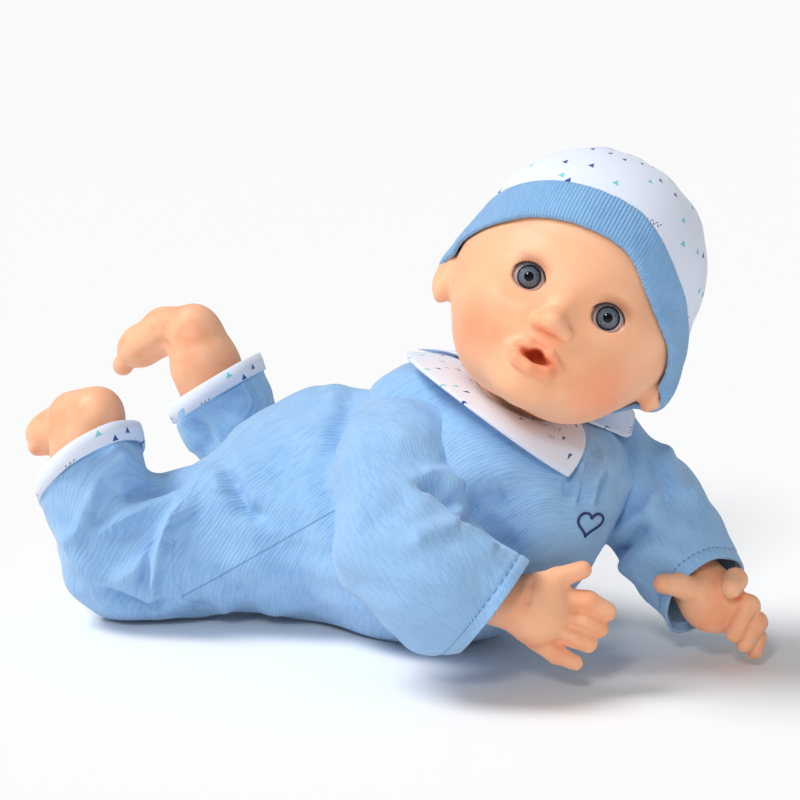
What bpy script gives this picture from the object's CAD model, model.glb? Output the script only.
import math

import bmesh
import bpy
import numpy as np
import openvdb
from mathutils import Matrix, Vector


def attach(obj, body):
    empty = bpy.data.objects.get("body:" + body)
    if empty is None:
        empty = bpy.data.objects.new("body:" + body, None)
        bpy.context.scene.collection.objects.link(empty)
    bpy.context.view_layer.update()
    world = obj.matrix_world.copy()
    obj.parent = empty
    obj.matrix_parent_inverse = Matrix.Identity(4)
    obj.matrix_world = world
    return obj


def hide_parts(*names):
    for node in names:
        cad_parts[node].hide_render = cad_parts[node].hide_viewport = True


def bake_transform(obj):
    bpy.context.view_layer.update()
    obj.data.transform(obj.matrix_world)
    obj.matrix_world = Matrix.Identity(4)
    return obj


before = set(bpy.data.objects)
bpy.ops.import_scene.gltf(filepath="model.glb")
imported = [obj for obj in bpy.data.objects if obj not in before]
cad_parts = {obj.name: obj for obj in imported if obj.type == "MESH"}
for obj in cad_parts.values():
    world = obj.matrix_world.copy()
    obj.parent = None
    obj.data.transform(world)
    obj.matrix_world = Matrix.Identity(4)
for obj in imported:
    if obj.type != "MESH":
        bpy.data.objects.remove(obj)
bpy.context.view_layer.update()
MM = 0.001

# Row-frame axes of an elevation of the doll's nearer side: across it, up it and out of it.
ACROSS = np.array((0.766, 0.643, 0.0))
RISE = np.array((-0.134, 0.159, 0.978))
TOWARD = np.array((0.629, -0.749, 0.208))


# ---------------- shapes as distance fields, in millimetres


def space(low, high, step):
    """The sample points of a box, as three arrays."""
    axes = [np.arange(a, b, step, dtype=np.float32) for a, b in zip(low, high)]
    return np.meshgrid(*axes, indexing="ij")


def ball(p, c, r):
    return np.sqrt((p[0] - c[0]) ** 2 + (p[1] - c[1]) ** 2 + (p[2] - c[2]) ** 2) - r


def rod(p, a, b, ra, rb=None):
    """A round bar from a to b whose radius runs from ra to rb."""
    rb = ra if rb is None else rb
    d = [b[i] - a[i] for i in range(3)]
    n = sum(x * x for x in d)
    t = np.clip(sum((p[i] - a[i]) * d[i] for i in range(3)) / n, 0, 1)
    gap = np.sqrt(sum((p[i] - a[i] - t * d[i]) ** 2 for i in range(3)))
    return gap - (ra + t * (rb - ra))


def egg(p, c, r, turn=None):
    """An ellipsoid; turn's columns are its axes."""
    q = [p[i] - c[i] for i in range(3)]
    if turn is not None:
        q = [sum(q[i] * float(turn[i][j]) for i in range(3)) for j in range(3)]
    a = np.sqrt(sum((q[i] / r[i]) ** 2 for i in range(3)))
    b = np.sqrt(sum((q[i] / r[i] ** 2) ** 2 for i in range(3))) + 1e-6
    return a * (a - 1) / b


def join(k, *fields):
    """A union whose creases are filled over a width of k."""
    out = fields[0]
    for f in fields[1:]:
        h = np.maximum(k - np.abs(out - f), 0) / k
        out = np.minimum(out, f) - h * h * k / 4
    return out


def carve(k, a, b):
    """a less b, with an edge rounded over k."""
    return -join(k, -a, b)


def along(p, points, k):
    """A limb through points (x, y, z, radius)."""
    parts = [rod(p, a[:3], b[:3], a[3], b[3]) for a, b in zip(points, points[1:])]
    return join(k, *parts)


# ---------------- meshes


def build(name, points, faces, turn=None, origin=(0, 0, 0)):
    """A mesh object from points in millimetres, optionally turned and moved into the row frame."""
    points = np.asarray(points, float)
    faces = np.asarray(faces, np.int32)
    mesh = bpy.data.meshes.new(name)
    local = points.copy()
    if turn is not None:
        points = points @ np.asarray(turn, float).T
    points = (points + np.array(origin, float)) * MM
    size = faces.shape[1]
    mesh.vertices.add(len(points))
    mesh.vertices.foreach_set("co", points.astype(np.float32).ravel())
    mesh.loops.add(faces.size)
    mesh.loops.foreach_set("vertex_index", faces.ravel())
    mesh.polygons.add(len(faces))
    mesh.polygons.foreach_set("loop_start", np.arange(0, faces.size, size, dtype=np.int32))
    mesh.polygons.foreach_set("use_smooth", np.ones(len(faces), bool))
    mesh.update(calc_edges=True)
    mesh.validate()
    obj = bpy.data.objects.new(name, mesh)
    bpy.context.scene.collection.objects.link(obj)
    write(obj, "rest", local)
    return obj


def write(obj, name, values):
    """Stores one vector per vertex, which the material reads."""
    data = obj.data.attributes.get(name) or obj.data.attributes.new(name, "FLOAT_VECTOR", "POINT")
    data.data.foreach_set("vector", np.asarray(values, np.float32).ravel())


def quads(field, low, step):
    """The zero surface of a field, as points and outward quads."""
    limit = 3 * step
    grid = openvdb.FloatGrid(limit)
    grid.copyFromArray(np.ascontiguousarray(np.clip(field, -limit, limit), dtype=np.float32))
    points, faces = grid.convertToQuads(isovalue=0.0)
    points = np.asarray(points, float) * step + np.array(low, float)
    faces = np.asarray(faces, np.int64)
    a, b, c = (points[faces[:, i]] for i in range(3))
    volume = np.einsum("ij,ij->i", points[faces[:, 0]], np.cross(b - a, c - a)).sum()
    if volume < 0:
        faces = faces[:, ::-1]
    return points, faces


def neighbours(faces):
    """Both ends of each edge, taken both ways round."""
    edges = np.concatenate([faces[:, [i, (i + 1) % 4]] for i in range(4)])
    return np.concatenate([edges[:, 0], edges[:, 1]]), np.concatenate([edges[:, 1], edges[:, 0]])


def smooth(points, faces, rounds):
    """Evens out the points by averaging them with their neighbours."""
    a, b = neighbours(faces)
    n = np.maximum(np.bincount(a, minlength=len(points)), 1)
    for _ in range(rounds):
        points = np.stack([np.bincount(a, points[b, i], len(points)) / n for i in range(3)], 1)
    return points


def normals(points, faces):
    a, b, c, d = (points[faces[:, i]] for i in range(4))
    n = np.cross(c - a, d - b)
    total = np.zeros_like(points)
    for i in range(4):
        for axis in range(3):
            total[:, axis] += np.bincount(faces[:, i], n[:, axis], len(points))
    return total / np.maximum(np.linalg.norm(total, axis=1, keepdims=True), 1e-9)


def near_line(points, line):
    """Distance of each point from a polyline, and how far along it the nearest place is, from 0 to 1."""
    line = np.array(line, float)
    best = np.full(len(points), 1e9)
    where = np.zeros(len(points))
    lengths = np.linalg.norm(np.diff(line, axis=0), axis=1)
    total, done = lengths.sum(), 0.0
    for a, b, length in zip(line, line[1:], lengths):
        t = np.clip((points - a) @ (b - a) / length**2, 0, 1)
        gap = np.linalg.norm(points - a - t[:, None] * (b - a), axis=1)
        closer = gap < best
        best = np.where(closer, gap, best)
        where = np.where(closer, (done + t * length) / total, where)
        done += length
    return best, where


def fold(points, faces, strokes):
    """Pushes the cloth out or in along each stroke: (height, width, polyline)."""
    out = normals(points, faces)
    move = np.zeros(len(points))
    for height, width, line in strokes:
        gap, where = near_line(points, line)
        fade = np.clip(np.minimum(where, 1 - where) * 4 + 0.25, 0, 1)
        move += height * fade * np.exp(-((gap / width) ** 2))
    return points + out * move[:, None]


# ---------------- materials


class Paint:
    """A material with short names for the nodes it is made of."""

    def __init__(self, name, colour, roughness=0.5, **inputs):
        self.material = bpy.data.materials.new(name)
        self.material.use_nodes = True
        self.tree = self.material.node_tree
        self.shader = self.tree.nodes["Principled BSDF"]
        self.set("Base Color", (*colour, 1))
        self.set("Roughness", roughness)
        for key, value in inputs.items():
            self.set(key.replace("_", " "), value)

    def feed(self, target, value):
        if isinstance(value, bpy.types.NodeSocket):
            self.tree.links.new(value, target)
        else:
            target.default_value = value

    def set(self, socket, value):
        self.feed(self.shader.inputs[socket], value)

    def node(self, kind, inputs=(), **settings):
        made = self.tree.nodes.new(kind)
        for key, value in settings.items():
            setattr(made, key, value)
        for key, value in dict(inputs).items():
            self.feed(made.inputs[key], value)
        return made

    def maths(self, operation, *values, clamp=False):
        made = self.node("ShaderNodeMath", enumerate(values), operation=operation, use_clamp=clamp)
        return made.outputs[0]

    def times(self, a, b):
        return self.maths("MULTIPLY", a, b)

    def plus(self, a, b):
        return self.maths("ADD", a, b)

    def minus(self, a, b):
        return self.maths("SUBTRACT", a, b)

    def size(self, value):
        return self.maths("ABSOLUTE", value)

    def sine(self, value):
        return self.maths("SINE", value)

    def split(self, vector):
        return self.node("ShaderNodeSeparateXYZ", {0: vector}).outputs

    def attribute(self, name):
        return self.node("ShaderNodeAttribute", attribute_name=name).outputs["Vector"]

    def vector(self, x, y, z):
        return self.node("ShaderNodeCombineXYZ", {0: x, 1: y, 2: z}).outputs[0]

    def mix(self, share, a, b):
        a, b = (c if isinstance(c, bpy.types.NodeSocket) else (*c, 1) for c in (a, b))
        return self.node("ShaderNodeMix", {0: share, 6: a, 7: b}, data_type="RGBA").outputs[2]

    def step(self, value, start, end):
        """0 at start and 1 at end, smoothly."""
        made = self.node("ShaderNodeMapRange", {0: value, 1: start, 2: end, 3: 0.0, 4: 1.0})
        made.interpolation_type = "SMOOTHSTEP"
        return made.outputs[0]

    def noise(self, vector, scale, detail=2.0, roughness=0.5):
        inputs = {"Vector": vector, "Scale": scale, "Detail": detail, "Roughness": roughness}
        return self.node("ShaderNodeTexNoise", inputs).outputs[0]

    def bump(self, height, strength, distance):
        made = self.node("ShaderNodeBump", {"Height": height, "Strength": strength, "Distance": distance})
        self.set("Normal", made.outputs[0])


def tone(r, g, b):
    """A display colour of 0-255 as the linear colour a shader takes."""
    return tuple(((c / 255 + 0.055) / 1.055) ** 2.4 if c > 10 else c / 255 / 12.92 for c in (r, g, b))


# What the third value of the attribute knit says: up to about 20 it is the distance in from a hem, near SEAM the
# distance from a side seam with SEAM added, and NO_SEAM is neither.
SEAM = 90.0
NO_SEAM = SEAM + 50
HEM = 4.5  # from a sleeve's edge to its row of stitches


def knit(name, light, dark, pitch, depth=0.00035, streak=0.5):
    """Fine ribbed jersey. In millimetres, x of the attribute knit runs across the ribs and y along them."""
    paint = Paint(name, light, 0.9, Sheen_Weight=0.25, Sheen_Roughness=0.6, Specular_IOR_Level=0.2)
    x, y, inset = paint.split(paint.attribute("knit"))
    wave = paint.sine(paint.times(x, 2 * math.pi / pitch))
    stretched = paint.vector(paint.times(x, 0.9), paint.times(y, 0.16), 0.0)
    yarn = paint.noise(stretched, 1.0, 3.0, 0.7)
    soft = paint.noise(paint.attribute("rest"), 0.06, 2.0)
    streaks = paint.times(paint.step(yarn, 0.35, 0.7), streak)
    share = paint.plus(streaks, paint.times(paint.step(soft, 0.3, 0.7), 0.2))
    share = paint.maths("ADD", share, paint.times(paint.maths("ADD", wave, 1.0), -0.10), clamp=True)
    row = paint.step(paint.size(paint.minus(inset, HEM)), 0.45, 0.15)
    dash = paint.times(row, paint.step(paint.sine(paint.times(x, 2.4)), -0.5, 0.0))
    joint = paint.step(paint.size(paint.minus(inset, SEAM)), 0.55, 0.1)
    colour = paint.mix(paint.times(joint, 0.5), paint.mix(share, light, dark), tone(66, 120, 186))
    paint.set("Base Color", paint.mix(paint.times(dash, 0.8), colour, tone(70, 128, 196)))
    stitch = paint.sine(paint.times(y, 2 * math.pi / (pitch * 0.8)))
    relief = paint.plus(wave, paint.times(stitch, 0.3))
    paint.bump(paint.minus(relief, paint.times(joint, 6.0)), 0.5, depth)
    return paint.material


def dress(obj, material):
    obj.data.materials.clear()
    obj.data.materials.append(material)
    return obj


BLUE = tone(150, 192, 231)
DEEP_BLUE = tone(104, 156, 212)
WHITE = tone(227, 234, 249)
SKIN = tone(249, 182, 142)

blue_knit = knit("blue_knit", BLUE, DEEP_BLUE, 0.85, 0.00009, 0.4)
band_knit = knit("band_knit", tone(132, 180, 224), tone(86, 140, 200), 1.2, 0.00035, 0.3)


PRINT_REPEAT = 10.5


def printed(name):
    """White jersey with navy and mint triangles and grey zigzags; the attribute print is in millimetres."""
    paint = Paint(name, WHITE, 0.85, Sheen_Weight=0.2, Specular_IOR_Level=0.2)
    place = paint.attribute("print")
    spread = {"Vector": place, "Scale": 1 / PRINT_REPEAT, "Randomness": 0.8}
    cell = paint.node("ShaderNodeTexVoronoi", spread, voronoi_dimensions="2D")
    x, y, _ = paint.split(place)
    cx, cy, _ = paint.split(cell.outputs["Position"])
    dx, dy = paint.minus(x, cx), paint.minus(y, cy)
    pick, _, _ = paint.split(cell.outputs["Color"])
    side = paint.plus(paint.times(paint.size(dx), 0.87), paint.times(dy, 0.5))
    drop = paint.maths("MAXIMUM", side, paint.times(dy, -1.0))
    inside = paint.maths("LESS_THAN", drop, 0.85)
    navy = paint.times(inside, paint.maths("LESS_THAN", pick, 0.42))
    mint = paint.times(inside, paint.maths("GREATER_THAN", pick, 0.68))
    curl = paint.times(paint.sine(paint.times(dx, 3.4)), 0.75)
    line = paint.maths("LESS_THAN", paint.size(paint.minus(dy, curl)), 0.24)
    line = paint.times(line, paint.maths("LESS_THAN", paint.size(dx), 2.6))
    between = paint.times(paint.maths("GREATER_THAN", pick, 0.5), paint.maths("LESS_THAN", pick, 0.58))
    colour = paint.mix(navy, WHITE, tone(62, 82, 158))
    colour = paint.mix(mint, colour, tone(120, 208, 206))
    colour = paint.mix(paint.times(line, between), colour, tone(70, 70, 92))
    paint.set("Base Color", colour)
    paint.bump(paint.noise(paint.attribute("rest"), 1.6, 2.0), 0.15, 0.0004)
    return paint.material


print_cloth = printed("print_cloth")


# ---------------- head, in its own axes: fore, left, up


def turned_by(degrees, axis):
    return Matrix.Rotation(math.radians(degrees), 3, axis)


HEAD_AXES = turned_by(-56.4, "Z") @ turned_by(-15.2, "Y") @ turned_by(-26.7, "X")
HEAD_TURN = HEAD_AXES @ Matrix(((1, 0, 0), (0.06, 1, 0), (0, 0, 1)))
HEAD_AT = (105.0, -9.5, 132.5)
EYE = (30.5, 16.3, 12.3)
EYEBALL = 8.9
EYELID = 9.15
SOCKET = 9.85
EYE_BULGE = 11.1
LID_OPENING = (6.1, 4.8)  # half its width and half its height
LID_BOW = 0.012
NECK_STUB = 18.5
SIDES = {"right": -1, "left": 1}
FINE = 0.6


def mirrored(shape, *points, **settings):
    """The same shape on both sides of the head."""
    made = []
    for sign in (-1, 1):
        turned = [(p[0], sign * p[1], *p[2:]) for p in points]
        made.append(shape(*turned, **settings))
    return made


def lip(p, start, end, start_radius, end_radius):
    return mirrored(lambda a, b: rod(p, a, b, start_radius, end_radius), start, end)


def head_field(p):
    cheeks = mirrored(lambda c: egg(p, c, (26.5, 25.5, 26)), (17, 10.5, -5))
    head = join(6, rod(p, (0, 0, 15), (0, 0, 28), 46, 42.8), *cheeks)
    head = join(9, head, egg(p, (33, 0, -15), (12.5, 15, 13)))
    head = join(6, head, egg(p, (35.5, 0, -23), (9, 10.5, 8.3)))
    head = carve(9, head, egg(p, (53.5, 20, 13), (11, 13, 9)))
    head = carve(9, head, egg(p, (53.5, -20, 13), (11, 13, 9)))
    for sign in (-1, 1):
        head = join(5, head, ball(p, (EYE[0], sign * EYE[1], EYE[2]), EYE_BULGE))
        head = carve(7, head, ball(p, (47.5, sign * 14.5, -13.2), 2.6))
        rim = egg(p, (-4.5, sign * 47.5, 1.5), (5.8, 3.2, 8.2))
        ear = join(2.5, egg(p, (-3.5, sign * 44.5, -0.5), (6.2, 4.6, 9.8)), rim)
        ear = carve(2.5, ear, egg(p, (0.5, sign * 50.0, 0.5), (3.4, 3.2, 6.2)))
        head = join(3, head, ear)
    head = join(3.2, head, rod(p, (40.5, 0, 12), (45, 0, 4), 3.6, 4.4))
    wings = mirrored(lambda c: ball(p, c, 3.0), (46.2, 5.4, -0.6))
    nose = join(2.4, egg(p, (48.2, -0.4, 1.4), (5.8, 4.9, 4.4)), *wings)
    head = join(2.0, head, nose)
    for sign in (-1, 1):
        head = carve(1.0, head, egg(p, (49.2, sign * 3.2, -4.4), (2.4, 1.6, 1.2)))
    head = carve(2.5, head, rod(p, (51.5, 0, -4.6), (50.8, 0, -7.8), 1.4, 1.5))
    corner, bow, middle = (43.4, 11.0, -13.2), (48.3, 4.4, -9.6), (49.0, 0.3, -10.0)
    upper = join(1.2, *lip(p, corner, bow, 1.0, 2.1), *lip(p, bow, middle, 2.1, 1.7))
    corner, bow, middle = (43.2, 10.4, -14.0), (47.4, 5.8, -16.6), (48.6, 0.5, -17.4)
    lower = join(1.6, *lip(p, corner, bow, 1.2, 2.7), *lip(p, bow, middle, 2.7, 3.1))
    head = join(1.6, head, upper, lower)
    head = carve(2.5, head, rod(p, (50.3, -6, -22.4), (50.3, 6, -22.4), 1.8))
    gap = egg(p, (50, 0, -13.2), (10.5, 5.8, 1.7)), egg(p, (50, 0, -12.0), (10.5, 2.6, 2.2))
    mouth = join(1.2, *gap, rod(p, (41, 0, -13.0), (52, 0, -13.0), 2.0))
    head = carve(1.0, head, mouth)
    neck_way = HEAD_AXES.inverted() @ Vector((0.4169, 0.08, 0.9054))
    neck_base = HEAD_AXES.inverted() @ (Vector((84, -5, 94)) - Vector(HEAD_AT))
    stub = rod(p, tuple(neck_base - 6 * neck_way), tuple(neck_base + 24 * neck_way), NECK_STUB)
    head = join(5, head, stub)
    for sign in (-1, 1):
        centre = (EYE[0], sign * EYE[1], EYE[2])
        head = carve(0.4, head, ball(p, centre, SOCKET))
        level = p[2] - centre[2] + 0.2 + LID_BOW * (p[1] - centre[1]) ** 2
        wide = np.sqrt(((p[1] - centre[1]) / LID_OPENING[0]) ** 2 + (level / LID_OPENING[1]) ** 2)
        opening = np.maximum((wide - 1) * 4.9, 30.0 - p[0])
        head = carve(0.9, head, opening)
    return head


low = (-62, -58, -66)
p = space(low, (57, 58, 75), FINE)
points, faces = quads(head_field(p), low, FINE)
points = smooth(points, faces, 2)
creases = [(-0.45, 1.7, [(42.5, s * 11.5, 2.2), (42, s * 17, 1.0), (40, s * 23, 2.6)]) for s in (-1, 1)]
creases += [(-0.35, 1.4, [(41, s * 11.5, 19.5), (41, s * 17.5, 21), (38.5, s * 24, 19.5)]) for s in (-1, 1)]
points = fold(points, faces, creases)
head = build("doll_head", points, faces, HEAD_TURN, HEAD_AT)


def vinyl(name):
    """Satin skin vinyl; the face's blush and paint sit where the rest attribute says."""
    paint = Paint(name, SKIN, 0.48, Subsurface_Weight=0.25, Subsurface_Scale=0.003, Specular_IOR_Level=0.45)
    paint.set("Subsurface Radius", (1.0, 0.32, 0.15))
    return paint


def away(paint, place, centre, size):
    """1 at centre and larger outwards, measured in multiples of size."""
    moved = paint.node("ShaderNodeVectorMath", {0: place, 1: centre}, operation="SUBTRACT").outputs[0]
    scaled = paint.node("ShaderNodeVectorMath", {0: moved, 1: size}, operation="DIVIDE").outputs[0]
    return paint.node("ShaderNodeVectorMath", {0: scaled}, operation="LENGTH").outputs["Value"]


skin = vinyl("skin")
tint = skin.noise(skin.attribute("rest"), 0.08, 2.0)
skin.set("Base Color", skin.mix(skin.step(tint, 0.35, 0.75), tone(252, 190, 150), tone(245, 168, 126)))

face = vinyl("face")
place = face.attribute("rest")
fore, left, up = face.split(place)
across = face.vector(fore, face.size(left), up)
colour = face.mix(face.step(face.noise(place, 0.06, 2.0), 0.3, 0.8), tone(252, 190, 150), tone(248, 178, 136))
blush = face.step(away(face, across, (32, 25, -12), (24, 18, 17)), 1.0, 0.1)
colour = face.mix(face.times(blush, 0.6), colour, tone(246, 142, 106))
blush = face.step(away(face, across, (46, 0, 0), (9, 10, 7)), 1.0, 0.2)
colour = face.mix(face.times(blush, 0.3), colour, tone(246, 160, 120))
lips = face.step(away(face, across, (48, 0, -13.6), (9, 12.5, 7.0)), 1.05, 0.75)
colour = face.mix(face.times(lips, 0.55), colour, tone(250, 146, 104))
inside = face.times(face.step(away(face, across, (41, 0, -13.0), (6.6, 5.6, 3.4)), 1.1, 0.7), 0.85)
colour = face.mix(inside, colour, tone(212, 92, 54))
lid = away(face, across, (40, 17.0, 16.2), (16, 9.5, 6.0))
colour = face.mix(face.times(face.step(lid, 1.0, 0.25), 0.7), colour, tone(168, 104, 66))
off_centre = face.minus(face.size(left), EYE[1])
bowed = face.plus(up, face.times(face.maths("POWER", off_centre, 2.0), LID_BOW))
rim_place = face.vector(0.0, face.size(left), bowed)
lash_ring = face.step(away(face, rim_place, (0, 16.3, 12.1), (1, 6.8, 5.5)), 1.05, 0.98)
lash_ring = face.times(lash_ring, face.step(up, 11.0, 14.0))
colour = face.mix(face.times(lash_ring, face.step(fore, 30, 34)), colour, tone(58, 36, 30))
brow_wave = face.sine(face.times(face.size(left), 5.0))
lash = face.step(away(face, across, (40, 17.0, 17.4), (20, 7.0, 2.0)), 1.0, 0.3)
lash = face.times(lash, face.step(brow_wave, 0.1, 0.9))
colour = face.mix(face.times(lash, 0.35), colour, tone(116, 74, 50))
face.set("Base Color", colour)
dress(head, face.material)

# eyes
for side, sign in SIDES.items():
    centre = Vector((EYE[0], sign * EYE[1], EYE[2]))
    where = HEAD_TURN @ centre + Vector(HEAD_AT)
    bpy.ops.mesh.primitive_uv_sphere_add(segments=96, ring_count=64, radius=EYEBALL)
    source = bpy.context.object
    locals_ = np.array([v.co for v in source.data.vertices])
    ball_faces = [list(f.vertices) for f in source.data.polygons]
    bpy.data.objects.remove(source)
    spread = np.hypot(locals_[:, 1], locals_[:, 2])
    dome = np.where(locals_[:, 0] > 0, np.clip(1 - (spread / 5.2) ** 2, 0, 1), 0)
    locals_[:, 0] += 0.7 * dome
    mesh = bpy.data.meshes.new(f"eye_{side}_ball")
    world = (locals_ @ np.array(HEAD_AXES).T + np.array(where)) * MM
    mesh.from_pydata([tuple(v) for v in world], [], ball_faces)
    mesh.polygons.foreach_set("use_smooth", [True] * len(mesh.polygons))
    eye = bpy.data.objects.new(f"doll_eyeball_{side}", mesh)
    bpy.context.scene.collection.objects.link(eye)
    write(eye, "rest", locals_)
    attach(eye, f"eye_{side}")
    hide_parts(f"eyeball_{side}", f"iris_{side}", f"cornea_{side}", f"eyelid_{side}", f"eye_weight_{side}")
    # closing lid
    rows, columns = 22, 40
    lid_points = []
    for i in range(rows + 1):
        tilt = math.radians(37 + 88 * i / rows)
        for j in range(columns + 1):
            turn = math.radians(-58 + 116 * j / columns)
            out = EYELID * math.cos(turn)
            lid_points.append((out * math.cos(tilt), EYELID * math.sin(turn), out * math.sin(tilt)))
    row = columns + 1
    lid_faces = [
        (i * row + j, i * row + j + 1, (i + 1) * row + j + 1, (i + 1) * row + j)
        for i in range(rows)
        for j in range(columns)
    ]
    turned = [HEAD_AXES @ Vector(v) for v in lid_points]
    eyelid = build(f"doll_eyelid_{side}", [tuple(v + where) for v in turned], lid_faces)
    write(eyelid, "rest", lid_points)
    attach(dress(eyelid, skin.material), f"eye_{side}")

gaze = Paint("eye", tone(238, 234, 236), 0.04, Specular_IOR_Level=0.3)
fore, left, up = gaze.split(gaze.attribute("rest"))
left = gaze.minus(left, 0.55)
up = gaze.plus(up, 0.1)
reach = gaze.maths("SQRT", gaze.plus(gaze.times(left, left), gaze.times(up, up)))
angle = gaze.maths("ARCTAN2", left, up)
rays = gaze.vector(gaze.times(angle, 5.0), gaze.times(reach, 0.35), 0.0)
ray = gaze.step(gaze.noise(rays, 2.6, 3.0, 0.7), 0.3, 0.75)
iris = gaze.mix(ray, tone(62, 72, 90), tone(146, 160, 176))
iris = gaze.mix(gaze.step(reach, 3.3, 4.3), iris, tone(20, 26, 38))
iris = gaze.mix(gaze.step(reach, 1.95, 1.7), iris, (0.0, 0.0, 0.002))
front = gaze.times(gaze.step(reach, 4.6, 4.35), gaze.maths("GREATER_THAN", fore, 0.0))
gaze.set("Base Color", gaze.mix(front, tone(240, 234, 236), iris))
for side in SIDES:
    dress(bpy.data.objects[f"doll_eyeball_{side}"], gaze.material)

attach(head, "head")
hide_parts("head_shell", "eye_socket_left", "eye_socket_right", "neck_plug")

# ---------------- hat, in the head's axes

BRIM = (-math.sin(math.radians(36.5)), 0.0, math.cos(math.radians(36.5)))
BAND = 16.0


def brim(p):
    """Height above the hat's edge, which dips over the left ear."""
    t = np.clip((p[1] - 6) / 30, 0, 1)
    return p[0] * BRIM[0] + p[2] * BRIM[2] - (4.6 - 8.0 * t * t * (3 - 2 * t))


def hat_form(p, extra):
    form = rod(p, (0, 0, 14), (0, 0, 28), 46.2 + extra, 43.0 + extra)
    over_ears = join(4, *mirrored(lambda c: egg(p, c, (7.2 + extra, 5.0 + extra, 10 + extra)), (-4, 43.5, 1)))
    return join(3, form, over_ears)


low = (-52, -55, -32)
p = space(low, (52, 56, 80), FINE)
height = brim(p)
inner = hat_form(p, 0.5)
crown_field = np.maximum(carve(0.3, hat_form(p, 2.0), inner), BAND - 0.6 - height)
points, faces = quads(crown_field, low, FINE)
points = smooth(points, faces, 3)
tucks = [(1.1, 4.5, [(-6, y, 73.5), (8 - 0.2 * y, 1.9 * y, 66), (12, 2.6 * y, 56)]) for y in (-9, -2, 6, 13)]
tucks += [(-1.2, 3.0, [(-8, y, 74), (2, 2 * y, 68), (6, 2.6 * y, 60)]) for y in (-5, 2, 9)]
points = fold(points, faces, tucks)
crown = build("doll_hat_crown", points, faces, HEAD_TURN, HEAD_AT)
turn = np.arctan2(points[:, 1], points[:, 0])
rise = np.arcsin(np.clip((points[:, 2] - 26) / 48, -1, 1))
write(crown, "print", np.stack([turn * 40 * np.cos(rise * 0.7), rise * 46, np.zeros(len(points))], 1))
dress(crown, print_cloth)
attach(crown, "hat")
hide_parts("hat_crown")

edge = 2.6 - 0.9 * np.clip((np.abs(height - BAND / 2) - BAND / 2 + 2.2) / 2.2, 0, 1) ** 2
band_field = np.maximum(carve(0.3, hat_form(p, 0) - edge - 0.4, inner), np.abs(height - BAND / 2) - BAND / 2)
points, faces = quads(band_field, low, FINE)
points = smooth(points, faces, 3)
band = build("doll_hat_band", points, faces, HEAD_TURN, HEAD_AT)
turn = np.arctan2(points[:, 1], points[:, 0] + 0.5 * points[:, 2] - 10)
write(band, "knit", np.stack([turn * 46, points @ np.array(BRIM), np.zeros(len(points))], 1))
dress(band, band_knit)
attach(band, "hat")
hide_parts("hat_band")

# ---------------- hands and feet


def basis(long, wide):
    """Columns: along, across and through."""
    a = Vector(long).normalized()
    c = a.cross(Vector(wide)).normalized()
    return Matrix((a, c.cross(a), c)).transposed()


HANDS = {
    "right": {
        "palm": ((123.5, -40, 33), (11.5, 13.5, 8.8), basis((0.76, 0.62, -0.2), (0.2, 0.3, 0.93))),
        "arm": [(96, -57, 41, 9.6), (112, -50, 38, 9.4), (120, -43.5, 35, 10.2)],
        "fingers": [
            [(119.5, -41.5, 41, 5.4), (126.5, -33.5, 45, 4.1), (133, -26.5, 48, 3.5)],
            [(126, -34.5, 37.3, 4.9), (136, -27, 36, 4.3), (141.3, -22.3, 32.3, 3.8)],
            [(126, -35, 31.8, 4.9), (135.5, -29, 29.4, 4.4), (139.8, -25.2, 26.3, 3.8)],
            [(124.5, -37, 26.3, 4.8), (133.5, -31.5, 23.4, 4.3), (137.5, -28.8, 20.8, 3.8)],
            [(121.5, -40, 21.8, 4.2), (129, -36.8, 16.6, 3.6), (134.7, -32.7, 13.5, 3.0)],
        ],
        "creases": [(-1.3, 1.3, [(122.2, -42.9, 48.2), (125.8, -50.3, 39.7), (121.8, -50.9, 30.1)])],
    },
    "left": {
        "palm": ((151, 35.5, 25), (12.5, 12.5, 8.3), basis((0.8, 0.25, -0.5), (0.1, 0.75, 0.6))),
        "arm": [(125, 40, 42, 9.4), (141, 36, 33, 9.8), (148, 35, 27, 10.2)],
        "fingers": [
            [(148, 29, 30, 6.1), (144.3, 21.5, 33.8, 4.7), (140.8, 14.8, 35.2, 3.9)],
            [(154, 38, 30.5, 5.2), (160, 36, 35.5, 4.6), (162.5, 29.5, 34.3, 4.1)],
            [(157, 39, 26, 5.0), (165, 38, 25.5, 4.5), (163.8, 31, 16, 3.7)],
            [(157, 41.5, 20, 4.8), (166.5, 41.5, 18.5, 4.3), (165.3, 35.8, 11.0, 3.6)],
            [(155, 42.5, 15, 4.4), (165, 44, 11.6, 3.9), (166.3, 41.2, 7.0, 3.2)],
        ],
        "creases": [
            (-0.8, 1.3, [(152, 27, 31), (154, 28.5, 24), (151, 30, 17)]),
            (-0.7, 1.3, [(146, 27, 33), (141, 27, 27)]),
        ],
    },
}
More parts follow.
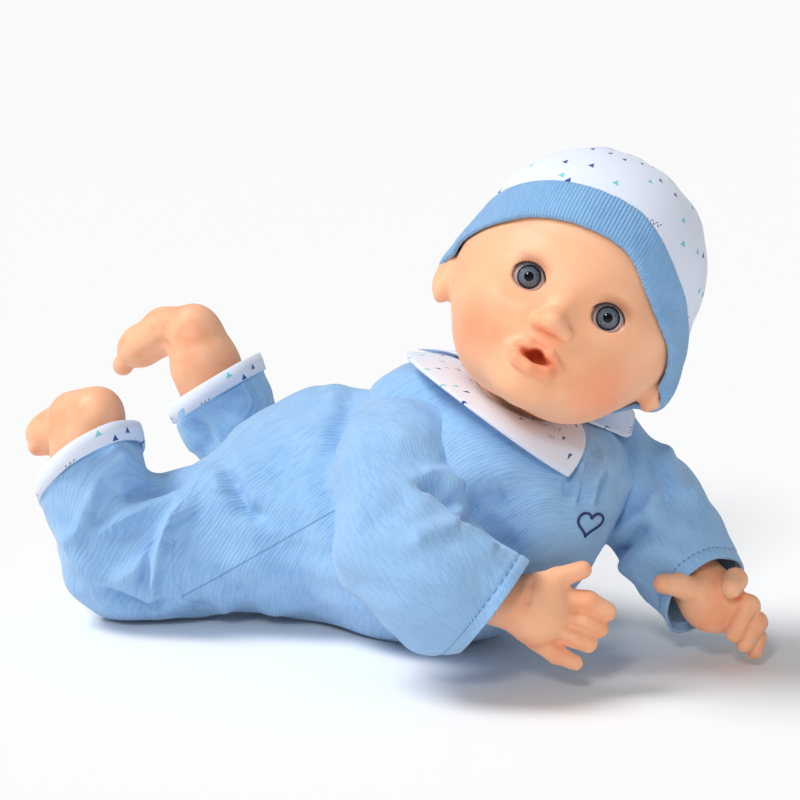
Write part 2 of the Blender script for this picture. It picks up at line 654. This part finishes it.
FEET = {
    "right": {
        "leg": [(-79, -75, 58, 16), (-80.5, -74.5, 72, 15), (-79.5, -74, 82, 12)],
        "foot": [(-75.5, -74, 87.5, 9.6), (-91, -72.8, 83, 9.2), (-105, -71, 74, 8.2)],
        "width": (0.1, 0.93, -0.1),
        "toes": [(-113, -62.5, 66.5, 4.6), (-112.5, -68.5, 66.0, 3.4), (-111.5, -73, 66.5, 3.2)]
        + [(-109.5, -77, 67.5, 3.0), (-107, -80.2, 69, 2.8)],
        "creases": [(-0.9, 2.0, [(-92, -82, 73), (-88, -84, 78), (-80, -84, 81)])],
    },
    "left": {
        "leg": [(-117, 40, 68, 16), (-124.5, 39, 84, 14.5), (-127.5, 38.5, 93, 12.2)],
        "foot": [(-130.5, 38.5, 100, 9.8), (-147, 37, 96, 9.6), (-160, 35.5, 88, 8.4)],
        "width": (-0.1, 0.9, 0.35),
        "toes": [(-165.8, 29, 79.0, 4.7), (-170, 33.5, 80.5, 3.6), (-169.5, 37.5, 83.5, 3.4)]
        + [(-167.5, 41, 86, 3.2), (-164.5, 44, 88, 3.0)],
        "creases": [(-0.9, 2.2, [(-146, 27, 88), (-139, 27, 93), (-133, 29, 91)])],
    },
}


CREASE_LIFT = 3.6  # from the middle of two fingers out to the skin between them


def limb_mesh(name, field, low, creases):
    points, faces = quads(field, low, FINE)
    points = smooth(points, faces, 2)
    points = fold(points, faces, creases)
    obj = build(name, points, faces)
    return dress(obj, skin.material)


for side, hand in HANDS.items():
    every = np.array([q for finger in hand["fingers"] for q in finger] + hand["arm"])
    low = tuple(every[:, :3].min(0) - 14)
    p = space(low, tuple(every[:, :3].max(0) + 14), FINE)
    centre, radii, turned = hand["palm"]
    palm = join(6, egg(p, centre, radii, turned), along(p, hand["arm"], 4))
    thumb, *others = [along(p, finger, 1.5) for finger in hand["fingers"]]
    field = join(1.8, palm, join(0.3, *others))
    field = join(2.2, field, thumb)
    gaps = []
    for pair in zip(hand["fingers"][1:], hand["fingers"][2:]):
        joints = np.array(pair, float)[:, :, :3]
        gaps.append((-1.1, 1.5, (joints[0] + joints[1]) / 2 + TOWARD * CREASE_LIFT))
    arm = limb_mesh(f"doll_hand_{side}", field, low, hand["creases"] + gaps)
    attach(arm, f"arm_{side}")
    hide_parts(f"arm_{side}", f"arm_tie_{side}")

for side, foot in FEET.items():
    every = np.array(foot["foot"] + foot["leg"] + foot["toes"])
    low = tuple(every[:, :3].min(0) - 16)
    p = space(low, tuple(every[:, :3].max(0) + 16), FINE)
    a, b = foot["foot"][0], foot["foot"][2]
    turned = basis([b[i] - a[i] for i in range(3)], foot["width"])
    sole = egg(p, foot["foot"][2][:3], (11, 11.5, 7.6), turned)
    field = join(7, along(p, foot["foot"], 5), along(p, foot["leg"], 5), sole)
    field = join(1.6, field, join(0.6, *[ball(p, t[:3], t[3]) for t in foot["toes"]]))
    leg = limb_mesh(f"doll_foot_{side}", field, low, foot["creases"])
    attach(leg, f"leg_{side}")
    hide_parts(f"leg_{side}", f"leg_tie_{side}")

# ---------------- the romper, in the row frame

# Limbs and trunk are lines of balls: (x, y, z, radius).
TORSO = [
    (-44, 0, 42, 31),
    (-22, 0, 44, 44.5),
    (14, 0, 45.4, 46),
    (46, -2, 47, 46.6),
    (76, -3, 59, 41),
    (93, -9, 66, 31),
]
SLEEVES = {
    "right": [(60, -43, 80, 26.5), (77, -63, 55, 25), (92, -62, 43, 24), (113, -53, 37, 20.5)],
    "left": [(94, 32, 79, 20), (116, 41, 56, 20), (130, 39, 41, 19.5), (145, 37, 26, 18.5)],
}
SLEEVE_ENDS = {"right": Vector((0.69, 0.42, -0.59)), "left": Vector((0.96, -0.29, -0.55)).normalized()}
LEGS = {
    "right": [(-30, -30, 38, 36), (-52, -50, 31, 28), (-68, -68, 27, 24), (-77.5, -75, 56, 20.5), (-80, -75, 65, 21)],
    "left": [(-34, 31, 38, 33), (-66, 41, 34, 27), (-94, 48, 31, 22.5), (-116, 41, 66, 20), (-119, 40.5, 73, 21)],
}
ANKLE_ENDS = {"right": Vector((-0.70, 0.03, 0.78)).normalized(), "left": Vector((-0.51, -0.19, 0.84)).normalized()}
CLOTH = 1.1
HIP_CUT = -34.0  # x of the cut between the torso's cloth and the trouser legs
FLANK_END = 15
FOLD_DEPTH = 1.9
RIPPLE = 0.45
TROUSER_WALL, SLEEVE_WALL, INNER_WALL, COLLAR_WALL = 1.2, 1.3, 0.2, 1.0
KNIT_FRONT = (0.63, -0.75, 0.2)


def torso_field(p):
    chest = join(10, along(p, TORSO, 14), egg(p, (99, -6, 70), (27, 30, 26)), egg(p, (57, -10, 84), (32, 36, 26)))
    return join(12, chest, ball(p, (81, -29, 78), 25), ball(p, (96, 17, 73), 22), ball(p, (45, -12, 87), 25.5))


def leg_field(p, side):
    return along(p, LEGS[side], 9)


def open_end(obj, point, normal, thickness):
    """Cuts a tube off at a plane and gives its wall a thickness inwards."""
    mesh = bmesh.new()
    mesh.from_mesh(obj.data)
    at = Vector(point) * MM
    every = mesh.verts[:] + mesh.edges[:] + mesh.faces[:]
    bmesh.ops.bisect_plane(mesh, geom=every, plane_co=at, plane_no=normal, clear_outer=True)
    mesh.to_mesh(obj.data)
    mesh.free()
    thicken(obj, thickness, -1)


def thicken(obj, thickness, offset=0):
    """Gives a surface a wall: offset 0 leaves it in the middle of the wall, and -1 on its outside."""
    wall = obj.modifiers.new("wall", "SOLIDIFY")
    wall.thickness = thickness * MM
    wall.offset = offset
    bpy.ops.object.select_all(action="DESELECT")
    bpy.context.view_layer.objects.active = obj
    obj.select_set(True)
    bpy.ops.object.modifier_apply(modifier=wall.name)


def lattice(columns, rows):
    """Quads over (columns + 1) lines of (rows + 1) points each."""
    row = rows + 1
    return [
        (i * row + j, (i + 1) * row + j, (i + 1) * row + j + 1, i * row + j + 1)
        for i in range(columns)
        for j in range(rows)
    ]


def weave(points, line, turn=0.0):
    """Knit coordinates round a limb: the way round it in millimetres and the way along it."""
    line = [np.array(q[:3], float) for q in line]
    axis = line[-1] - line[0]
    axis /= np.linalg.norm(axis)
    middle = line[len(line) // 2]
    side = np.cross(axis, KNIT_FRONT)
    side /= np.linalg.norm(side)
    front = np.cross(side, axis)
    q = points - middle
    round_ = np.arctan2(q @ side, q @ front) * 24
    level = q @ axis
    c, s = math.cos(turn), math.sin(turn)
    return np.stack([round_ * c + level * s, level * c - round_ * s, np.full(len(points), NO_SEAM)], 1)


# Each fold is (height, width, line), with the line drawn on the elevation: x along ACROSS and y along RISE.
ROMPER_FOLDS = [
    # legs
    (1.5, 3.0, [(-114, 32), (-110, 40), (-105, 53)]),
    (-2.2, 5.0, [(-108, 39), (-101, 47), (-96, 56)]),
    (1.9, 3.0, [(-105, 35), (-91, 42), (-79, 47), (-66, 53)]),
    (-2.2, 2.5, [(-93, 49), (-84, 52), (-74, 55)]),
    (1.8, 3.0, [(-98, 14), (-84, 25), (-72, 39), (-64, 52)]),
    (2.6, 2.6, [(-84, 8), (-82, 18), (-77, 34), (-71, 47)]),
    (-2.0, 2.2, [(-87, 11), (-84, 24), (-80, 34)]),
    (-2.6, 2.4, [(-105, 14), (-94, 7), (-86, 4), (-76, 7)]),
    (1.8, 4.0, [(-120, 39), (-115, 30), (-109, 21), (-102, 11)]),
    (-0.9, 4.0, [(-66, 11), (-63, 2)]),
    (0.9, 4.0, [(-58, 14), (-54, 1)]),
    (-1.0, 5.0, [(-49, 14), (-42, -3)]),
    (-2.6, 3.4, [(-53, 60), (-49, 53), (-45, 46), (-37, 41)]),
    (1.8, 5.0, [(-64, 56), (-56, 57), (-54, 50)]),
    (-1.4, 4.0, [(-91, 78), (-86, 72), (-80, 64)]),
    (1.3, 3.0, [(-82, 80), (-77, 73), (-72, 65)]),
    (-1.4, 3.0, [(-74, 82), (-70, 75), (-66, 66)]),
    (1.2, 3.0, [(-100, 74), (-97, 69), (-94, 63)]),
    # chest
    (-2.2, 4.0, [(-2, 88), (-10, 77), (-15, 60), (-9, 30), (11, 9)]),
    (-2.6, 5.0, [(40, 46), (48, 50), (57, 53)]),
    (-1.5, 6.0, [(45, 42), (53, 36), (60, 30)]),
    (-1.5, 2.2, [(84, 66), (81, 59), (79, 52)]),
    (1.5, 2.2, [(87, 67), (84, 59), (82, 50)]),
    (-1.6, 2.2, [(90, 69), (86, 60), (85, 47)]),
    (1.4, 2.2, [(93, 65), (89, 57), (88, 49)]),
    (-1.2, 2.2, [(96, 64), (93, 56), (91, 47)]),
    (1.4, 2.6, [(108, 81), (113, 73), (110, 62), (105, 54)]),
    (-1.4, 2.2, [(106, 80), (110, 71), (107, 62)]),
    (-1.3, 2.2, [(110, 80), (115, 71), (114, 61)]),
    # back
    (-1.8, 3.5, [(-3, 89), (-8, 79), (-10, 69)]),
    (1.4, 4.0, [(-15, 88), (-4, 94), (9, 97)]),
]
SLEEVE_FOLDS = {
    "right": [
        (-3.2, 2.2, [(23, 58), (29, 57), (36, 51), (38, 47)]),
        (2.0, 3.0, [(24, 61), (32, 60), (39, 53)]),
        (-1.5, 6.0, [(21, 55), (11, 47), (2, 43)]),
        (1.8, 4.0, [(39, 43), (28, 40), (20, 36)]),
        (-2.4, 2.4, [(39, 45), (47, 42), (53, 35)]),
        (1.6, 3.0, [(38, 42), (46, 38), (53, 33)]),
        (1.0, 4.0, [(14, 77), (25, 73), (34, 65)]),
    ],
    "left": [
        (-2.6, 2.2, [(112, 41), (105, 32), (96, 23)]),
        (2.0, 3.5, [(118, 56), (111, 44), (96, 35)]),
        (1.8, 3.5, [(119, 71), (124, 56), (132, 50)]),
        (-1.6, 3.0, [(114, 69), (118, 56), (120, 45)]),
        (1.3, 4.0, [(120, 36), (111, 29), (100, 20)]),
    ],
}


def drape(points, faces, strokes, slack):
    """Folds cloth along an elevation's strokes, and ripples it gently all over by slack."""
    out = normals(points, faces)
    flat = np.stack([points @ ACROSS, points @ RISE], 1)
    facing = np.clip((out @ TOWARD - 0.02) * 5, 0, 1)
    move = np.zeros(len(points))
    for height, width, line in strokes:
        gap, where = near_line(flat, line)
        fade = np.clip(np.minimum(where, 1 - where) * 4 + 0.3, 0, 1)
        move += FOLD_DEPTH * height * fade * facing * np.exp(-((gap / width) ** 2))
    rng = np.random.default_rng(7)
    for length in (34, 27, 21, 16, 12):
        wave = rng.normal(size=3)
        wave *= 2 * math.pi / length / np.linalg.norm(wave)
        other = rng.normal(size=3) * 0.05
        move += slack * length / 30 * np.sin(points @ wave + 2.0 * np.sin(points @ other + rng.uniform(0, 6)))
    return points + out * move[:, None]


# torso and legs are one cloth, cut at the hips
low = (-146, -102, -3)
p = space(low, (134, 80, 112), CLOTH)
legs = [leg_field(p, side) for side in SIDES]
trunk = torso_field(p)
field = join(12, trunk, *legs)
field = np.maximum(field, -0.2 - p[2])
points, faces = quads(field, low, CLOTH)
points = smooth(points, faces, 3)
points = drape(points, faces, ROMPER_FOLDS, RIPPLE)
points[:, 2] = np.maximum(points[:, 2], 0)
centres = points[faces].mean(1)
regions = {
    "torso": centres[:, 0] > HIP_CUT,
    "right": (centres[:, 0] <= HIP_CUT) & (centres[:, 1] < 0),
    "left": (centres[:, 0] <= HIP_CUT) & (centres[:, 1] >= 0),
}


def piece(name, chosen):
    used, index = np.unique(faces[chosen], return_inverse=True)
    return build(name, points[used], index.reshape(-1, 4))


SIDE_SEAM = [(-72, 9), (-61, 15), (-45, 24), (-26, 35), (-11, 44), (15, 54)]


def romper_knit(obj):
    """Knit coordinates of the romper, with a seam along both flanks."""
    spots = np.array([v.co for v in obj.data.vertices]) / MM
    values = weave(spots, TORSO, 0.5)
    for mirror in (1, -1):
        turned = spots * (1, mirror, 1)
        reach = turned @ ACROSS
        gap = 0.86 * (turned @ RISE - np.interp(reach, *zip(*SIDE_SEAM)))
        near = (turned[:, 1] < 0) & (reach > SIDE_SEAM[0][0]) & (reach < FLANK_END)
        values[:, 2] = np.where(near, SEAM + gap, values[:, 2])
    write(obj, "knit", values)


romper = piece("doll_romper", regions["torso"])
romper_knit(romper)
dress(romper, blue_knit)
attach(romper, "torso")
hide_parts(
    "romper_front", "romper_back", "body_cover_front", "body_cover_back", "torso_stuffing",
    "bean_pouch", "closure_hook_strip", "closure_loop_strip", "neck_tie",
)


def inner_wall(name, y):
    """The cloth between the legs, which closes each trouser leg where it leaves the other."""
    heights = np.arange(1, 100, 0.5)
    spans = []
    for x in np.arange(HIP_CUT, -90, -1.5):
        q = [np.full(len(heights), x), np.zeros(len(heights)), heights]
        body = join(12, torso_field(q), *[leg_field(q, other) for other in SIDES])
        within = heights[body < -0.3]
        if len(within) < 2:
            break
        spans.append((x, within[0], within[-1]))
    rows = 12
    spots = [(x, y, a + (b - a) * j / rows) for x, a, b in spans for j in range(rows + 1)]
    wall = build(name, spots, lattice(len(spans) - 1, rows))
    write(wall, "knit", [(z, x, NO_SEAM) for x, _, z in spots])
    thicken(wall, INNER_WALL)
    return dress(wall, blue_knit)


for side in SIDES:
    end = LEGS[side][-1]
    leg = piece(f"doll_trouser_{side}", regions[side])
    romper_knit(leg)
    dress(leg, blue_knit)
    open_end(leg, end[:3], ANKLE_ENDS[side], TROUSER_WALL)
    inner = inner_wall(f"doll_crotch_{side}", SIDES[side] * 0.15)
    for part in (leg, inner):
        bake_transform(part)
    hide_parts(f"trouser_leg_{side}", f"thigh_{side}")

for side, line in SLEEVES.items():
    every = np.array(line)
    low = tuple((every[:, :3] - every[:, 3:]).min(0) - 4)
    p = space(low, tuple((every[:, :3] + every[:, 3:]).max(0) + 4), CLOTH * 0.8)
    field = along(p, line, 8)
    points, faces = quads(field, low, CLOTH * 0.8)
    points = smooth(points, faces, 3)
    points = drape(points, faces, SLEEVE_FOLDS[side], RIPPLE)
    inset = (np.array(line[-1][:3]) - points) @ np.array(SLEEVE_ENDS[side])
    points = points - normals(points, faces) * (0.5 * np.exp(-(((inset - HEM) / 0.8) ** 2)))[:, None]
    sleeve = build(f"doll_sleeve_{side}", points, faces)
    knitted = weave(points, line, 0.0)
    knitted[:, 2] = inset
    write(sleeve, "knit", knitted)
    dress(sleeve, blue_knit)
    open_end(sleeve, line[-1][:3], SLEEVE_ENDS[side], SLEEVE_WALL)
    start, end = Vector(line[0][:3]) * MM, Vector(line[1][:3]) * MM
    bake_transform(sleeve)
    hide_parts(f"sleeve_{side}", f"upper_arm_{side}")

BAND_EASE = 1.7  # from the trouser leg's cloth out to the band
# The band's cross-section, as (height, distance out).
BAND_PROFILE = [(-4.2, 0.2), (-4.0, 0.9), (0.2, 1.2), (3.6, 1.0), (4.0, 0.2), (3.8, -0.6), (0, -0.9), (-3.8, -0.7)]
for side, line in LEGS.items():
    end = Vector(line[-1][:3])
    up = ANKLE_ENDS[side]
    radius = line[-1][3] + BAND_EASE
    along_leg = (end - Vector(line[-2][:3])).normalized()
    around_a = along_leg.cross(Vector((0, 1, 0))).normalized()
    around_b = along_leg.cross(around_a)
    ring, profile = 96, BAND_PROFILE
    band_points, band_faces = [], []
    for i in range(ring):
        angle = 2 * math.pi * i / ring
        for height, out in profile:
            wobble = 0.35 * math.sin(3 * angle + 0.6) + 0.2 * math.sin(7 * angle)
            spot = (radius + out + wobble) * (around_a * math.cos(angle) + around_b * math.sin(angle))
            band_points.append(tuple(end + spot + along_leg * (-(spot.dot(up)) / along_leg.dot(up) + height)))
    k = len(profile)
    for i in range(ring):
        for j in range(k):
            here, there, up_one = i * k, (i + 1) % ring * k, (j + 1) % k
            band_faces.append((here + j, there + j, there + up_one, here + up_one))
    cuff = build(f"doll_ankle_band_{side}", band_points, band_faces)
    around = np.repeat(np.arange(ring) / ring * 2 * math.pi * radius, k)
    write(cuff, "print", np.stack([around, np.tile([h for h, _ in profile], ring) + 5.5, np.zeros(ring * k)], 1))
    dress(cuff, print_cloth)
    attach(cuff, f"leg_{side}")
    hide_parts(f"ankle_cuff_{side}")

# ---------------- collar

NECK = np.array((85.0, -4.0, 97.0))
NECK_UP = np.array((0.417, 0.08, 0.905))
COLLAR_FRONT = np.array((math.cos(math.radians(14)), math.sin(math.radians(14)), 0.0))
COLLAR_FRONT = COLLAR_FRONT - NECK_UP * (COLLAR_FRONT @ NECK_UP)
COLLAR_FRONT /= np.linalg.norm(COLLAR_FRONT)
COLLAR_LEFT = np.cross(NECK_UP, COLLAR_FRONT)


def cloth_field(q):
    return join(3, torso_field(q), *[along(q, line, 8) for line in SLEEVES.values()])


SLOPE_STEP = 0.5


def above_cloth(spots, lift):
    """Moves the points that lie less than lift above the romper out to that height."""
    spots = np.array(spots, float)
    for _ in range(10):
        q = [spots[:, i] for i in range(3)]
        here = cloth_field(q)
        ahead = [cloth_field([q[j] + (SLOPE_STEP if j == i else 0) for j in range(3)]) for i in range(3)]
        slope = np.stack([(a - here) / SLOPE_STEP for a in ahead], 1)
        short = np.minimum(here - lift, 0)
        spots -= slope * (short / np.maximum((slope**2).sum(1), 1e-6))[:, None]
    return spots


def on_side(obj, u, v, lift):
    """The place on an object that an elevation's point falls on, raised by lift."""
    start = ACROSS * u + RISE * v + TOWARD * 150
    hit, place, normal, _ = obj.ray_cast(Vector(start) * MM, Vector(-TOWARD))
    return np.array(place) / MM + np.array(normal) * lift if hit else start


def thread(name, line, radius, body, material):
    """A round cord through the points."""
    curve = bpy.data.curves.new(name, "CURVE")
    curve.dimensions = "3D"
    curve.bevel_depth = radius * MM
    curve.bevel_resolution = 2
    curve.use_fill_caps = True
    spline = curve.splines.new("POLY")
    spline.points.add(len(line) - 1)
    for point, spot in zip(spline.points, line):
        point.co = (*(np.array(spot) * MM), 1)
    shaped = bpy.data.objects.new(name + "_curve", curve)
    bpy.context.scene.collection.objects.link(shaped)
    bpy.context.view_layer.update()
    mesh = bpy.data.meshes.new_from_object(shaped.evaluated_get(bpy.context.evaluated_depsgraph_get()))
    bpy.data.objects.remove(shaped)
    made = bpy.data.objects.new(name, mesh)
    bpy.context.scene.collection.objects.link(made)
    dress(made, material)
    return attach(made, body)


HEART_SIZE = 0.30
navy = Paint("navy_thread", tone(34, 44, 104), 0.6).material
heart = []
for i in range(49):
    a = 2 * math.pi * i / 48
    across = HEART_SIZE * 16 * math.sin(a) ** 3
    above = HEART_SIZE * (13 * math.cos(a) - 5 * math.cos(2 * a) - 2 * math.cos(3 * a) - math.cos(4 * a))
    heart.append(on_side(romper, 88 + across + 0.35 * above, 42 + above - 0.1 * across, 0.3))
thread("doll_chest_heart", heart, 0.5, "torso", navy)

RISES = {"right": 11.0, "left": -7.0}
for side, sign in SIDES.items():
    columns, rows = 72, 14
    spots, ways = [], []
    for i in range(columns + 1):
        t = i / columns
        inner = 20.5 + 1.5 * t
        wide = 44.5 - inner + 6.0 * t**4
        for j in range(rows + 1):
            s = j / rows
            angle = sign * math.radians(1.5 + 36 * s + (173 - 36 * s) * t)
            reach = inner + wide * s
            height = 8.0 * (1 - s) + 2.5 * math.sin(math.pi * s) + RISES[side] * math.sin(math.pi * t) * s
            spot = NECK + COLLAR_FRONT * (reach * math.cos(angle)) + COLLAR_LEFT * (reach * math.sin(angle))
            spots.append(spot + NECK_UP * height)
            ways.append((t * 150 * sign, 1.0 * wide * s, 0))
    spots = above_cloth(spots, 1.2)
    wing = build(f"doll_collar_{side}", spots, lattice(columns, rows))
    write(wing, "print", ways)
    thicken(wing, COLLAR_WALL)
    dress(wing, print_cloth)
    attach(wing, "torso")
    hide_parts(f"collar_{side}")

# ---------------- what the frame already has: the inner parts


def moulded(name, colour, worn, grain, roughness, metallic=0.0):
    """Moulded or metal stock with a fine grain and uneven gloss."""
    paint = Paint(name, colour, roughness, Metallic=metallic)
    place = paint.node("ShaderNodeTexCoord").outputs["Object"]
    patches = paint.noise(place, grain / 8, 3.0)
    paint.set("Base Color", paint.mix(paint.step(patches, 0.35, 0.75), colour, worn))
    paint.set("Roughness", paint.maths("MULTIPLY_ADD", patches, 0.2, roughness - 0.1))
    paint.bump(paint.noise(place, grain, 2.0), 0.2, 0.00005)
    return paint.material


CASE_NODES = ["sound_case_front", "sound_case_back", "battery_door"]
STEEL_NODES = ["case_screws", "button_spring", "battery_contacts"]
INSIDE = {
    moulded("inner_nylon", tone(226, 222, 210), tone(208, 202, 188), 2400, 0.5): ["neck_casing"],
    moulded("case_shell", tone(232, 232, 228), tone(214, 214, 208), 2600, 0.45): CASE_NODES,
    moulded("steel", tone(178, 180, 184), tone(150, 152, 158), 3000, 0.35, 1.0): STEEL_NODES,
    moulded("cell_can", tone(200, 202, 206), tone(176, 178, 182), 1600, 0.28, 1.0): ["button_cells"],
    moulded("speaker_paper", tone(30, 30, 32), tone(46, 44, 44), 1800, 0.75): ["speaker"],
    moulded("board_mask", tone(24, 96, 60), tone(18, 78, 48), 1400, 0.35): ["circuit_board"],
    moulded("lead_sleeve", tone(178, 32, 28), tone(150, 26, 24), 1500, 0.45): ["speaker_leads"],
    moulded("button_cap", tone(96, 150, 210), tone(84, 136, 196), 2200, 0.4): ["voice_button"],
}
for material, names in INSIDE.items():
    for name in names:
        dress(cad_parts[name], material)

# ---------------- floor, light and camera

bpy.context.scene.view_settings.view_transform = "Standard"

bpy.ops.mesh.primitive_plane_add(size=24)
floor = bpy.context.object
floor.name = "floor"
dress(floor, Paint("floor", (0.93, 0.93, 0.935), 0.7, Specular_IOR_Level=0.1).material)

world = bpy.data.worlds.new("studio")
bpy.context.scene.world = world
world.use_nodes = True
sky = world.node_tree
height = sky.nodes.new("ShaderNodeSeparateXYZ")
fall = sky.nodes.new("ShaderNodeMapRange")
sky.links.new(sky.nodes.new("ShaderNodeTexCoord").outputs["Generated"], height.inputs[0])
sky.links.new(height.outputs["Z"], fall.inputs["Value"])
for socket, value in {"From Max": 0.15, "To Min": 0.95, "To Max": 0.34}.items():
    fall.inputs[socket].default_value = value
sky.nodes["Background"].inputs[0].default_value = (1, 1, 1, 1)
sky.links.new(fall.outputs["Result"], sky.nodes["Background"].inputs[1])


def lamp(name, toward, softness, strength):
    """A broad, even light that shines towards a direction."""
    data = bpy.data.lights.new(name, "SUN")
    data.angle = math.radians(softness)
    data.energy = strength
    made = bpy.data.objects.new(name, data)
    bpy.context.scene.collection.objects.link(made)
    made.rotation_euler = Vector(toward).to_track_quat("-Z", "Y").to_euler()


lamp("key", (0.5, 0.5, -0.95), 26, 2.3)
lamp("front", (-0.34, 0.74, -0.58), 9, 0.7)

data = bpy.data.cameras.new("camera")
data.lens = 130.7
data.sensor_width = 36
camera = bpy.data.objects.new("camera", data)
bpy.context.scene.collection.objects.link(camera)
camera.location = (0.7553, -0.8745, 0.3360)
toward = Vector((-0.6287, 0.7493, -0.2079))
camera.rotation_euler = toward.to_track_quat("-Z", "Y").to_euler()
bpy.context.scene.camera = camera
